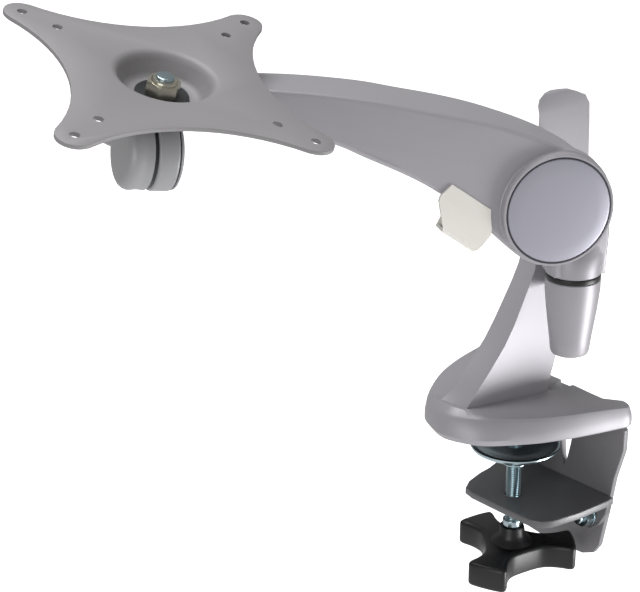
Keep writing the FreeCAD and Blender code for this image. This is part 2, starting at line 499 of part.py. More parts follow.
# ---------------------------------------------------------------- plate and its fixings (in the tilt frame)
plate_top = size("vesa_top")
sheet_t = size("vesa_thickness")
half = size("vesa_half")
blank = block("VesaBlank", (-half, -half, plate_top - sheet_t), (half, half, plate_top))
centre_far = size("vesa_waist") + size("vesa_arc")
plate_cuts = []
for index, (x, y) in enumerate(((1, 0), (0, 1), (-1, 0), (0, -1))):
    spot = (x * centre_far, y * centre_far, plate_top - 10)
    plate_cuts.append(cylinder("VesaArc%d" % index, link("vesa_arc"), "20", spot))
corner_keep = size("vesa_outer")
star = cut_all("VesaStar", blank, plate_cuts)
CORNER = []
for quadrant in range(4):
    for step in range(7):
        angle = math.radians(90 * quadrant + 15 * step)
        sx = 1 if quadrant in (0, 3) else -1
        sy = 1 if quadrant in (0, 1) else -1
        cx = sx * corner_keep + size("vesa_corner") * math.cos(angle)
        cy = sy * corner_keep + size("vesa_corner") * math.sin(angle)
        CORNER.append((cx, cy))
rounded = prism("VesaRounded", "XY_Plane", CORNER, "120")
trimmed = common("VesaTrimmed", star, rounded)
pan_outer = cylinder("DishOuter", "Sizes.dish_radius + 1.5", "Sizes.dish_depth + 2", (0, 0, plate_top - size("dish_depth") - 2))
dished = fuse("VesaDished", [trimmed, pan_outer])
pan_inner = cone("DishInner", "Sizes.dish_radius - 1.5", "Sizes.dish_radius", "Sizes.dish_depth + 0.001", (0, 0, plate_top - size("dish_depth")))
plate_holes = [pan_inner, cylinder("StudHole", "Sizes.stud_radius + 0.08", "20", (0, 0, 20))]
for spread in (size("vesa_outer"), size("vesa_inner")):
    for sx in (-1, 1):
        for sy in (-1, 1):
            name = "VesaHole%d" % len(plate_holes)
            plate_holes.append(cylinder(name, link("vesa_hole_radius"), "10", (sx * spread, sy * spread, plate_top - 5)))
keep("vesa_plate", cut_all("VesaPlate", dished, plate_holes), in_tilt)
floor = plate_top - size("dish_depth")
keep("lower_plate_washer", ring("LowerPlateWasher", "12", "4.1", "1.5", (0, 0, floor - 3.55)), None)
keep("upper_plate_washer", ring("UpperPlateWasher", "11.6", "4.1", "1.2", (0, 0, floor + 0.05)), None)
lock_blank = hexagon("LockNutBlank", "13", "5.8", (0, 0, floor + 1.3))
lock_collar = cylinder("LockNutCollar", "5.6", "1.4", (0, 0, floor + 7.1))
lock_solid = fuse("LockNutSolid", [lock_blank, lock_collar])
lock_bore = cylinder("LockNutBore", link("stud_radius"), "12", (0, 0, floor))
keep("lock_nut", cut("LockNut", lock_solid, lock_bore), in_tilt)

# pieces made on a slanted axis are moved as a whole into their frame
doc.recompute()
SLANTED = {
    "lift_bush": in_arm, "far_hub_cap": in_arm, "hub_seal_ring": in_arm, "lift_disc_spring": in_arm,
    "swivel_pin": in_head, "swivel_washer": in_head, "swivel_retainer": in_head, "end_cap_gasket": in_head,
    "tilt_friction_washer": in_tilt, "tilt_bolt": in_tilt, "plate_stud": in_tilt,
    "lower_plate_washer": in_tilt, "upper_plate_washer": in_tilt,
}
for node, placement in SLANTED.items():
    piece = nodes[node]
    piece.Placement = placement.multiply(piece.Placement)
doc.recompute()

# ---------------------------------------------------------------- checks and export
for item in doc.Objects:
    if "Invalid" in item.State or "Error" in item.State:
        raise RuntimeError("%s is not computed: %s" % (item.Name, item.State))
os.makedirs("parts", exist_ok=True)
for node, piece in nodes.items():
    shape = piece.Shape
    if shape.isNull() or not shape.isValid():
        raise RuntimeError("%s has no valid shape" % node)
    if not shape.Solids:
        raise RuntimeError("%s has no solid" % node)
    shape.exportStep("parts/%s.step" % node)
    box = shape.BoundBox
    low = "(%.1f %.1f %.1f)" % (box.XMin, box.YMin, box.ZMin)
    high = "(%.1f %.1f %.1f)" % (box.XMax, box.YMax, box.ZMax)
    print("%-24s solids %d volume %.0f %s %s" % (node, len(shape.Solids), shape.Volume, low, high))
print(len(nodes), "nodes")
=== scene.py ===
"""Looks of a desk-clamp monitor arm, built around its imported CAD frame.

Lengths are in millimetres until a piece is placed.
"""
import json
import math

import bmesh
import bpy
from mathutils import Matrix, Vector


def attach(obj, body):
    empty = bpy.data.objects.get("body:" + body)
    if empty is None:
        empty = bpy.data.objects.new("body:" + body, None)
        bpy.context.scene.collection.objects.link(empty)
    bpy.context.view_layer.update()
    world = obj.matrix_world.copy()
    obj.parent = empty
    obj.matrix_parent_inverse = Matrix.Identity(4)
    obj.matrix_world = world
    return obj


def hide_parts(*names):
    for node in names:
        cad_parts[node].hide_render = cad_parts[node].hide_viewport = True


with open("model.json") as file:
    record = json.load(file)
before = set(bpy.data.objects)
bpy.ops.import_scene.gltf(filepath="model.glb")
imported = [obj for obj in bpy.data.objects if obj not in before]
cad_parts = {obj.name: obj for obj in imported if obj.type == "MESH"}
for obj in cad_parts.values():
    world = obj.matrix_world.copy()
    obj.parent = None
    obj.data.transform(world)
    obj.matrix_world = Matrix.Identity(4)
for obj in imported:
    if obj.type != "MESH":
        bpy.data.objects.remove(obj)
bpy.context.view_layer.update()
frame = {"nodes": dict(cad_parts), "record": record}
MM = 0.001

# ------------------------------------------------------------ axes of the moving parts
PAN_X, PAN_Y = 35.0, -2.1
WEB_HEADING = 139
HUB = Vector((26.6, -19.3, 128.3))
HEADING = math.radians(-116.0)
HEAD = Vector((-57.4, -190.8, 172.9))
TILT_AXIS = Vector((0.3359, 0.9323, -0.1357)).normalized()
SWIVEL_AXIS = Vector((0.0462, 0.1276, 0.9904)).normalized()
HEAD_TILT = math.radians(15.52)
TILT_OFFSET = 30


def frame_of(origin, x_dir, z_dir):
    z = Vector(z_dir).normalized()
    y = z.cross(Vector(x_dir)).normalized()
    x = y.cross(z)
    turn = Matrix((x, y, z)).transposed().to_4x4()
    return Matrix.Translation(origin) @ turn


IN_ROW = Matrix.Identity(4)
IN_ARM = frame_of(HUB, (math.cos(HEADING), math.sin(HEADING), 0), (0, 0, 1))
IN_HEAD = frame_of(HEAD, TILT_AXIS, SWIVEL_AXIS)
IN_BARREL = IN_HEAD @ Matrix.Translation((0, -TILT_OFFSET, 0))
IN_TILT = IN_BARREL @ Matrix.Rotation(HEAD_TILT, 4, "X")
LIE_ALONG_X = Matrix.Rotation(math.radians(90), 4, "Y")
LIE_ALONG_Y = Matrix.Rotation(math.radians(-90), 4, "X")


# ------------------------------------------------------------ materials
def linear(hex_colour):
    out = []
    for i in (1, 3, 5):
        c = int(hex_colour[i:i + 2], 16) / 255
        out.append(c / 12.92 if c <= 0.04045 else ((c + 0.055) / 1.055) ** 2.4)
    return (*out, 1)


def add_node(tree, kind, **sockets):
    node = tree.nodes.new(kind)
    for key, value in sockets.items():
        node.inputs[key.replace("_", " ")].default_value = value
    return node


def coat(name, colour, rough, metal=0.0, grain_mm=0.6, bump=0.0, other=None, coat_weight=0.0, glow=0.0):
    """Painted, plated or moulded surface with a fine grain in real millimetres."""
    mat = bpy.data.materials.new(name)
    mat.use_nodes = True
    tree = mat.node_tree
    shader = tree.nodes["Principled BSDF"]
    shader.inputs["Base Color"].default_value = linear(colour)
    shader.inputs["Roughness"].default_value = rough
    shader.inputs["Metallic"].default_value = metal
    shader.inputs["Coat Weight"].default_value = coat_weight
    if glow:
        shader.inputs["Emission Color"].default_value = (1, 1, 1, 1)
        shader.inputs["Emission Strength"].default_value = glow
    if bump or other:
        place = add_node(tree, "ShaderNodeTexCoord")
        noise = add_node(tree, "ShaderNodeTexNoise", Scale=1 / (grain_mm * MM), Detail=3.0)
        tree.links.new(place.outputs["Object"], noise.inputs["Vector"])
    if bump:
        bumper = add_node(tree, "ShaderNodeBump", Strength=bump, Distance=0.05 * MM)
        tree.links.new(noise.outputs["Fac"], bumper.inputs["Height"])
        tree.links.new(bumper.outputs["Normal"], shader.inputs["Normal"])
    if other:
        mix = tree.nodes.new("ShaderNodeMix")
        mix.data_type = "RGBA"
        mix.inputs["A"].default_value = linear(colour)
        mix.inputs["B"].default_value = linear(other)
        tree.links.new(noise.outputs["Fac"], mix.inputs["Factor"])
        tree.links.new(mix.outputs["Result"], shader.inputs["Base Color"])
    return mat


SILVER = coat("silver_powder_coat", "#a3a1a6", 0.42, 0.25, 0.5, 0.25)
PLATE_GREY = coat("plate_powder_coat", "#8d8b8d", 0.55, 0.1, 0.5, 0.35)
HEAD_GREY = coat("head_powder_coat", "#9a9a9c", 0.45, 0.2, 0.5, 0.25)
DISC = coat("hub_disc_satin", "#a4a3ae", 0.38, 0.3, 0.4, 0.1)
BACK_STEEL = coat("clamp_plate_coat", "#7d7b7e", 0.5, 0.2, 0.5, 0.3)
SHELF_STEEL = coat("shelf_coat", "#6a6a6c", 0.4, 0.3, 0.5, 0.3)
ZINC = coat("bright_zinc", "#b4c2c8", 0.22, 1.0, 3.0, 0.0, "#9fb4ba")
NUT_STEEL = coat("nut_steel", "#c2bfb0", 0.25, 1.0)
BLACK = coat("black_moulding", "#0b0b0d", 0.38, 0.0, 0.8, 0.3)
BLACK_RUBBER = coat("black_rubber", "#18181a", 0.7, 0.0, 0.8, 0.2)
WASHER_BLACK = coat("washer_black", "#1d2021", 0.35, 0.0)
# painted shade: the seal ring's near-black colour stands in for the shadowed gap round the hub cap
SEAL_GAP_SHADE = coat("seal_painted_gap_shade", "#2a2a33", 0.45, 0.0)
MILKY = coat("milky_clip", "#e2dfd9", 0.35, 0.0)
MILKY.node_tree.nodes["Principled BSDF"].inputs["Subsurface Weight"].default_value = 0.35
MILKY.node_tree.nodes["Principled BSDF"].inputs["Subsurface Radius"].default_value = (0.004, 0.004, 0.0035)


# ------------------------------------------------------------ shaping helpers
def from_bmesh(name, bm):
    bmesh.ops.remove_doubles(bm, verts=bm.verts, dist=1e-5)
    bmesh.ops.recalc_face_normals(bm, faces=bm.faces)
    data = bpy.data.meshes.new(name)
    bm.to_mesh(data)
    bm.free()
    obj = bpy.data.objects.new(name, data)
    bpy.context.scene.collection.objects.link(obj)
    return obj


def turned_piece(name, profile, steps=96):
    """Solid of revolution about Z from (radius, height) points."""
    bm = bmesh.new()
    rings = []
    for radius, height in profile:
        if radius < 1e-6:
            rings.append([bm.verts.new((0, 0, height))])
            continue
        ring = []
        for k in range(steps):
            a = 2 * math.pi * k / steps
            ring.append(bm.verts.new((radius * math.cos(a), radius * math.sin(a), height)))
        rings.append(ring)
    closed = profile[0][0] > 1e-6
    pairs = list(zip(rings, rings[1:]))
    if closed:
        pairs.append((rings[-1], rings[0]))
    for low, high in pairs:
        for k in range(steps):
            j = (k + 1) % steps
            if len(low) == 1 and len(high) == 1:
                continue
            if len(low) == 1:
                bm.faces.new((low[0], high[j], high[k]))
            elif len(high) == 1:
                bm.faces.new((low[k], low[j], high[0]))
            else:
                bm.faces.new((low[k], low[j], high[j], high[k]))
    return from_bmesh(name, bm)


def slab(name, outline, low, high, bevel=0.0, steps=3):
    """Outline in XY raised from low to high, with both rims rounded."""
    bm = bmesh.new()
    verts = [bm.verts.new((p[0], p[1], low)) for p in outline]
    base = bm.faces.new(verts)
    made = bmesh.ops.extrude_face_region(bm, geom=[base])
    top = [v for v in made["geom"] if isinstance(v, bmesh.types.BMVert)]
    bmesh.ops.translate(bm, verts=top, vec=(0, 0, high - low))
    if bevel:
        rims = []
        for edge in bm.edges:
            if abs(edge.verts[0].co.z - edge.verts[1].co.z) < 1e-6:
                rims.append(edge)
        bmesh.ops.bevel(bm, geom=rims, offset=bevel, segments=steps, profile=0.5, affect="EDGES",
                        clamp_overlap=True)
    return from_bmesh(name, bm)


def skin(name, sections):
    """Closed skin through rings of equally many points."""
    bm = bmesh.new()
    rings = [[bm.verts.new(p) for p in section] for section in sections]
    for low, high in zip(rings, rings[1:]):
        count = len(low)
        for k in range(count):
            j = (k + 1) % count
            bm.faces.new((low[k], low[j], high[j], high[k]))
    bm.faces.new(rings[0][::-1])
    bm.faces.new(rings[-1])
    return from_bmesh(name, bm)


def smooth_line(points, steps=6, closed=False):
    """Curve through the points, evenly stepped between each pair."""
    out = []
    count = len(points)
    spans = count if closed else count - 1
    for i in range(spans):
        ids = [i - 1, i, i + 1, i + 2]
        if closed:
            ids = [k % count for k in ids]
        else:
            ids = [min(max(k, 0), count - 1) for k in ids]
        a, b, c, d = [Vector(points[k]) for k in ids]
        for s in range(steps):
            t = s / steps
            point = 0.5 * (2 * b + (c - a) * t + (2 * a - 5 * b + 4 * c - d) * t * t
                           + (3 * b - a - 3 * c + d) * t ** 3)
            out.append(tuple(point))
    if not closed:
        out.append(tuple(points[-1]))
    return out


def join_shapes(base, tools, how="UNION"):
    for tool in tools:
        mod = base.modifiers.new("shape", "BOOLEAN")
        mod.operation = how
        mod.solver = "EXACT"
        mod.object = tool
        bake(base)
        bpy.data.objects.remove(tool)
    return base


def bake(obj):
    bpy.context.view_layer.update()
    deps = bpy.context.evaluated_depsgraph_get()
    data = bpy.data.meshes.new_from_object(obj.evaluated_get(deps))
    obj.modifiers.clear()
    obj.data = data
    return obj


def merge(first, others):
    """One mesh from several, without shaping."""
    bm = bmesh.new()
    for obj in [first] + others:
        part = obj.data.copy()
        part.transform(obj.matrix_world)
        bm.from_mesh(part)
    name = first.name
    for obj in [first] + others:
        bpy.data.objects.remove(obj)
    data = bpy.data.meshes.new(name)
    bm.to_mesh(data)
    bm.free()
    obj = bpy.data.objects.new(name, data)
    bpy.context.scene.collection.objects.link(obj)
    return obj


def move(obj, matrix):
    obj.data.transform(matrix)
    return obj


def finish_piece(obj, body, node, material, placement=IN_ROW, angle=35, nodes=()):
    obj.data.transform(Matrix.Scale(MM, 4) @ placement)
    obj.matrix_world = Matrix.Identity(4)
    obj.data.materials.clear()
    obj.data.materials.append(material)
    for face in obj.data.polygons:
        face.use_smooth = True
    obj.data.set_sharp_from_angle(angle=math.radians(angle))
    obj.data.update()
    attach(obj, body)
    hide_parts(*(nodes or (node,)))
    return obj


def drum(radius, low, high, bevel=0.0, bore=0.0, name="drum", steps=96):
    """Round piece about Z with rounded rims and an optional bore."""
    b = bevel
    arc = []
    for k in range(5):
        a = math.radians(90 * k / 4)
        arc.append((radius - b + b * math.sin(a), b * (1 - math.cos(a))))
    lower = [(r, low + h) for r, h in arc]
    upper = [(r, high - h) for r, h in reversed(arc)]
    inner = bore if bore else 0.0
    if not b:
        lower, upper = [(radius, low)], [(radius, high)]
    profile = [(inner, low)] + lower + upper + [(inner, high)]
    return turned_piece(name, profile, steps)


def hexagon(across, low, high, bore, name):
    radius = across / math.sqrt(3)
    outline = [(radius * math.cos(math.pi / 3 * k), radius * math.sin(math.pi / 3 * k)) for k in range(6)]
    blank = slab(name, outline, low, high)
    crown = turned_piece("crown", [(0, low), (radius * 0.93, low), (radius, low + 0.7),
                                   (radius * 1.01, high - 0.7),
                                   (radius * 0.91, high), (0, high)], 64)
    join_shapes(blank, [crown], "INTERSECT")
    if bore:
        join_shapes(blank, [drum(bore, low - 1, high + 1)], "DIFFERENCE")
    return blank


# ------------------------------------------------------------ base casting
# foot x, y; bulge; shoulder x, y, z; place round the fin's foot
# (0 far front, 1 near front, 2 near rear, 3 far rear)
RIM = [(-3.5, -48.5, 2.2, -2.5, -45.5, 13.5, 0.6), (7, -45.6, 1.8, 6, -42.5, 13.2, 0.85),
       (15, -41, 1.2, 12.5, -37, 13.2, 1.0), (22, -33, 0.8, 19, -30, 13.0, 1.12),
       (32, -17, 0.5, 29.5, -15.5, 12.6, 1.3),
       (38, -3, 0.4, 36, -2.5, 12.3, 1.5), (42, 9, 0.4, 40.3, 9, 12.0, 1.7),
       (46, 23, 0.4, 44.4, 22.5, 11.2, 1.85),
       (48, 31, 0.3, 46.6, 30.5, 10.4, 1.92), (45, 35, 0.3, 44, 34, 10.2, 1.95),
       (39, 36, 0.2, 38.7, 35, 10.2, 1.97),
       (36, 30.5, 0, 35.7, 29.7, 10.5, 1.98), (24, 29.5, 0, 24, 28.8, 11, 1.99),
       (9.5, 29.5, 0, 9.5, 28.8, 11.6, 2.0),
       (-9, 29.5, 0, -9, 28.8, 11.9, 3.0), (-43, 30.5, 0, -43, 29.5, 12.5, 3.02),
       (-46, 36, 0.2, -46, 34.6, 12.5, 3.05),
       (-51, 35, 0.3, -50, 33.6, 12.8, 3.08), (-55, 31, 0.3, -53, 30, 13, 3.12),
       (-53, 23, 0.4, -51.3, 22.6, 13.3, 3.2),
       (-49, 9, 0.4, -47.5, 9, 14, 3.35), (-45, -3, 0.6, -43.8, -3, 14.2, 3.5),
       (-39, -17, 1.0, -38.3, -16.5, 14.3, 3.7),
       (-29, -33, 1.6, -29, -32.5, 14, 3.88), (-22, -41, 2.3, -21.8, -40.5, 13.4, 4.0),
       (-14, -45.6, 2.5, -12.5, -44, 13.4, 4.3)]
FIN_FOOT = ((-13.2, -40.5, 15.8), (2.2, -38.2, 15.1), (9.5, 12, 12.3), (-9, 12, 13.5))
# height; x, y of the far front, near front, near rear and far rear corner
FIN = [(17.6, -12.2, -38, 2.5, -36.3, 9.4, 12.8, -8.8, 12.8),
       (21, -11, -34.8, 3, -33.3, 9.3, 14, -8.5, 14), (25, -10.3, -32, 3.5, -30.3, 9, 16, -8, 16),
       (30, -9.7, -27.5, 4, -26, 8.5, 18, -7.7, 18), (36, -9.3, -22, 4.4, -21, 8.1, 20, -7.4, 20),
       (43, -9, -15.5, 4.8, -15.3, 7.8, 22.3, -7.2, 22.3), (52, -8.5, -9.5, 5, -9.5, 7.5, 24.7, -6.8, 24.7),
       (61, -8, -4.3, 5.2, -5, 7.3, 27, -6.4, 27), (70, -7.5, 0.8, 5.2, -0.3, 7.2, 29, -5.8, 29),
       (79, -7, 5, 5.2, 3.9, 7, 31, -5.4, 31), (95, -6.5, 8, 5, 4.3, 7, 33.5, -4.8, 33.5),
       (110, -6, 10, 5, 4.3, 7, 35.5, -4.4, 35.5), (130, -5.5, 12, 4.8, 4.2, 6.5, 37.5, -4, 37.5),
       (147, -5, 13, 4.5, 3.6, 6, 37.5, -3.5, 37.5), (157, -4.6, 12.6, 4.2, 3, 5.4, 37.5, -3.2, 37.5),
       (161.5, -4.2, 13, 3.8, 2.4, 4.8, 35, -2.6, 35), (164.2, -3.4, 14.5, 3, 4, 4, 29, -2, 29),
       (165.4, -2.2, 17, 1.6, 9, 2.4, 22, -1.2, 22)]


def round_fin(corners, place):
    """Point at a place round the four corners of one level of the fin."""
    place = place % 4
    side = int(place)
    start, end = Vector(corners[side]), Vector(corners[(side + 1) % 4])
    return start.lerp(end, place - side)


def rim_points():
    curve = smooth_line([r[:3] for r in RIM], 3, True)
    shoulder = smooth_line([r[3:6] for r in RIM], 3, True)
    places = []
    for i, row in enumerate(RIM):
        following = RIM[(i + 1) % len(RIM)][6] + (4 if i + 1 == len(RIM) else 0)
        for step in range(3):
            places.append(row[6] + (following - row[6]) * step / 3)
    return list(zip(curve, shoulder, places))


def base_casting():
    rings = [[] for _ in range(9)]
    middle = Vector((-3.5, -4, 0))
    for foot, shoulder, place in rim_points():
        low = Vector((foot[0], foot[1], 0))
        out = (low - middle).normalized()
        top = Vector(shoulder)
        bulge = low + out * foot[2]
        target = round_fin(FIN_FOOT, place)
        dome = 1.3 if place > 3.2 or place < 0.9 else 0.0
        rings[0].append(low - out * 0.7 + Vector((0, 0, 0.2)))
        rings[1].append(low + Vector((0, 0, 1.0)))
        rings[2].append(bulge.lerp(low, 0.25) + Vector((0, 0, 3.5)))
        rings[3].append(Vector((*bulge.lerp(top, 0.22).xy, 6.5)))
        rings[4].append(Vector((*bulge.lerp(top, 0.6).xy, top.z - 1.9)))
        rings[5].append(Vector((*bulge.lerp(top, 0.86).xy, top.z - 0.5)))
        rings[6].append(top + Vector((0, 0, 0.1)))
        half = top.lerp(target, 0.5) + Vector((0, 0, dome))
        rings[7].append(half)
        rings[8].append(target)
    for z, *c in FIN:
        corners = [(c[0], c[1], z), (c[2], c[3], z), (c[4], c[5], z), (c[6], c[7], z)]
        rings.append([round_fin(corners, place) for _, _, place in rim_points()])
    body = skin("base_casting", rings)
    boss = turned_piece("boss", [(0, 45.8), (7.4, 45.8), (8.8, 46.5), (9.5, 48.2), (10.1, 54),
                                 (12.3, 70), (13.3, 80),
                                 (13.3, 84.5), (12.9, 84.9), (0, 84.9)])
    move(boss, Matrix.Translation((PAN_X, PAN_Y, 0)))
    web = slab("web", [(2, -62), (2, -84.3), (40, -84.3), (40, -71), (20, -66)], -6, 6)
    toward_fin = Matrix.Translation((PAN_X, PAN_Y, 0)) @ Matrix.Rotation(math.radians(WEB_HEADING), 4, "Z")
    move(web, toward_fin @ Matrix.Rotation(math.radians(-90), 4, "X"))
    join_shapes(body, [boss, web])
    under = slab("under", [(-25, -29), (17.5, -29), (27, -13.5), (34, 4), (36, 12), (36, 45),
                           (-36, 45), (-36, 4),
                           (-34, -10)], -3, 5)
    slot = slab("slot", [(12.6, 34), (9.4, 14.5), (8.2, 13), (6.8, 13), (6.0, 14.5), (2.4, 34)], -3, 13.2)
    join_shapes(body, [under, slot], "DIFFERENCE")
    return finish_piece(body, "base", "base_casting", SILVER, angle=26)


def thrust_ring():
    ring = drum(13.3, 84.9, 87.5, 0.4, 6.4, "thrust_ring")
    move(ring, Matrix.Translation((PAN_X, PAN_Y, 0)))
    return finish_piece(ring, "base", "thrust_ring", BLACK)


# ------------------------------------------------------------ clamp
def upright(x0=0.0, y0=0.0, z0=0.0):
    """XY outlines stood up: local X stays, local Y becomes height, thickness runs along Y."""
    return Matrix.Translation((x0, y0, z0)) @ Matrix.Rotation(math.radians(90), 4, "X")


LEG = [(-35, 4.8), (-35, -1), (-39, -3), (-42, -6), (-42, -17), (-38, -35), (-35, -56), (-31, -75),
       (-27, -81),
       (-21, -84.4), (-11, -85.5), (6, -85.5), (18, -84.8), (25.5, -81.5), (29, -76), (33, -55.5),
       (36.5, -34.5),
       (41.5, -17), (41.5, -6), (38.5, -3), (35, -1), (35, 4.8)]
TREAD = [(-24, -28), (17, -28), (26, -13), (33, 4), (35, 12), (35, 37), (-35, 37), (-35, 4), (-33, -10)]


def clamp_back_plate():
    leg = slab("clamp_back_plate", LEG, -38.5, -35.2, 0.5)
    move(leg, upright())
    tread = slab("tread", TREAD, 1.5, 4.8)
    notch = slab("notch", [(2.5, -39.5), (4.6, -34), (6.5, -25), (12, 10), (1, 10), (0, -25),
                           (1.0, -34)], -60, -14)
    move(notch, upright())
    join_shapes(leg, [tread])
    join_shapes(leg, [notch], "DIFFERENCE")
    return finish_piece(leg, "base", "clamp_back_plate", BACK_STEEL)


def shelf_bracket():
    top = [(37, 35.1), (37.5, 29), (36.8, 10), (34, -7), (31, -12), (26, -14.6), (18, -15), (-15, -15),
           (-21, -13.5), (-25, -7),
           (-28, 4), (-29, 12), (-34, 29), (-34, 35.1)]
    shelf = slab("shelf_bracket", top, -48.75, -44.75, 0.6)
    flange = slab("flange", [(-34, -45.2), (-32, -60), (-27, -66), (26, -66), (31, -62), (35.5, -54),
                             (37, -45.2)],
                  -35.15, -31.2, 0.5)
    move(flange, upright())
    join_shapes(shelf, [flange])
    join_shapes(shelf, [drum(4.4, -60, -30)], "DIFFERENCE")
    return finish_piece(shelf, "base", "shelf_bracket", SHELF_STEEL)


def pressure_cup():
    profile = [(4.05, -25.5), (8, -25.5), (9.5, -24), (14, -20.3), (19.6, -18.7), (22.3, -17.7),
               (23, -16.5), (23, -15.8),
               (22.4, -15.5), (20.6, -15.5), (18.5, -16.5), (12, -17.3), (4.05, -17.3)]
    cup = turned_piece("pressure_cup", profile)
    return finish_piece(cup, "cup", "pressure_cup", ZINC, angle=30)


def clamp_screw():
    """Rod with a real helical thread."""
    pitch, outer, inner, low, high, around = 1.25, 4.0, 3.2, -66.0, -19.5, 28
    rows = int((high - low) / (pitch / 5))
    bm = bmesh.new()
    rings = []
    for i in range(rows + 1):
        z = low + (high - low) * i / rows
        ring = []
        for k in range(around):
            phase = (z / pitch - k / around) % 1.0
            wave = min(1.0, abs(phase - 0.5) * 2.6)
            r = inner + (outer - inner) * wave
            a = 2 * math.pi * k / around
            ring.append(bm.verts.new((r * math.cos(a), r * math.sin(a), z)))
        rings.append(ring)
    for below, above in zip(rings, rings[1:]):
        for k in range(around):
            j = (k + 1) % around
            bm.faces.new((below[k], below[j], above[j], above[k]))
    bm.faces.new(rings[-1])
    stub = []
    for k in range(around):
        a = 2 * math.pi * k / around
        stub.append(bm.verts.new((3.3 * math.cos(a), 3.3 * math.sin(a), -74)))
    for k in range(around):
        j = (k + 1) % around
        bm.faces.new((stub[k], stub[j], rings[0][j], rings[0][k]))
    bm.faces.new(stub[::-1])
    screw = from_bmesh("clamp_screw", bm)
    return finish_piece(screw, "screw", "clamp_screw", ZINC, angle=40)


def screw_collar():
    collar = drum(4.9, -62.9, -58.9, 0.5, 4.02, "screw_collar")
    return finish_piece(collar, "screw", "screw_collar", ZINC)


LOBE = [(12.2, -9.2), (18, -7.6), (24, -8.4), (29, -10.2), (31.5, -10), (32.7, -7.5), (33.2, 0),
        (32.7, 7.5),
        (31.5, 10), (29, 10.2), (24, 8.4), (18, 7.6), (12.2, 9.2)]


def clamp_knob():
    outline = []
    for angle in (-69, 51, 171):
        c, d = math.cos(math.radians(angle)), math.sin(math.radians(angle))
        outline += [(x * c - y * d, x * d + y * c) for x, y in LOBE]
    star = slab("clamp_knob", smooth_line([(x, y, 0) for x, y in outline], 3, True), -85, -71.5, 3.2, 4)
    hub = turned_piece("hub", [(0, -84), (11, -84), (11.6, -72.5), (10.6, -71), (8.2, -69.4),
                               (6.9, -67), (6.5, -64),
                               (6.1, -63), (0, -63)])
    join_shapes(star, [hub])
    join_shapes(star, [drum(4.0, -66, -60)], "DIFFERENCE")
    return finish_piece(star, "screw", "clamp_knob", BLACK, angle=40)


def bracket_fixings():
    heads, nuts, washers = [], [], []
    for x in (-24, 24):
        head = hexagon(10, 38.5, 42.5, 0, "head")
        shank = drum(3.0, 22.5, 38.8, 0.4)
        nut = hexagon(10, 25.0, 30.0, 3.0, "nut")
        washer = drum(6.0, 30.0, 31.2, 0.2, 3.2)
        for item, keep in ((head, heads), (shank, heads), (nut, nuts), (washer, washers)):
            move(item, Matrix.Translation((x, 0, -57.5)) @ LIE_ALONG_Y)
            keep.append(item)
    groups = ((heads, "bracket_bolts"), (nuts, "bracket_nuts"), (washers, "bracket_washers"))
    for items, name in groups:
        group = merge(items[0], items[1:])
        group.name = name
        finish_piece(group, "base", name, ZINC)


# ------------------------------------------------------------ yoke
FLARE_STEPS = 48


def yoke_casting():
    flare = []
    for height, middle, along, across in ((-40.7, -19.1, 12.9, 12.9), (-40.1, -19.1, 13.5, 13.5),
                                          (-37, -19.1, 13.5, 13.5),
                                          (-33, -19.3, 13.6, 13.4), (-29.5, -19.9, 13.9, 12.4),
                                          (-26, -20.8, 13.4, 10.9), (-22, -22.4, 11.6, 9.9),
                                          (-15, -25.5, 7, 8.6)):
        ring = []
        for t in range(FLARE_STEPS):
            a = t * math.tau / FLARE_STEPS
            ring.append(Vector((middle + along * math.cos(a), across * math.sin(a), height)))
        flare.append(ring)
    neck = skin("yoke_casting", flare)
    outline = [(-32, -40), (-32.4, -30), (-33, -20), (-32, -9), (-25, -1), (-17, 6), (-14, 10),
               (-8, 15), (0, 17),
               (8, 15), (14, 10), (17, 0), (14, -10), (8, -17), (-3, -26), (-6, -33), (-6.4, -40)]
    tongue = slab("tongue", outline, -9.2, 9.2, 1.5)
    move(tongue, Matrix.Rotation(math.radians(90), 4, "X"))
    join_shapes(neck, [tongue])
    hole = drum(8.0, -20, 20)
    move(hole, LIE_ALONG_Y)
    join_shapes(neck, [hole], "DIFFERENCE")
    return finish_piece(neck, "yoke", "yoke_casting", SILVER, IN_ARM)


# ------------------------------------------------------------ arm
SIDE_TOP = [(-27.5, -2), (-26.8, 8), (-22, 16.5), (-9, 25), (3, 31), (15, 36), (30, 41.5), (46, 46.2),
            (65, 51),
            (84, 55.8), (110, 60.6), (132, 63.4), (145, 64.2), (160, 65), (175, 66.2), (187, 66.8)]
SIDE_FOOT = [(189, 62.6), (174, 60.9), (150, 52.5), (125, 44), (103, 36.8), (90, 30.3), (74, 22.4),
             (62, 15.6), (52, 8.8), (44, 3.6),
             (35, -5), (27, -13), (21, -18.6), (16, -22.8), (11, -26), (5, -28), (-5, -28),
             (-15, -23.5), (-23, -14.5)]
PLAN = [(-40, 19.5), (-24, 20.6), (-10, 21.5), (50, 21.5), (80, 20.3), (110, 17.8), (160, 13.5), (200, 12)]


def half_width(u):
    for (a, wa), (b, wb) in zip(PLAN, PLAN[1:]):
        if u <= b:
            return wa + (wb - wa) * max(0.0, (u - a)) / (b - a)
    return PLAN[-1][1]


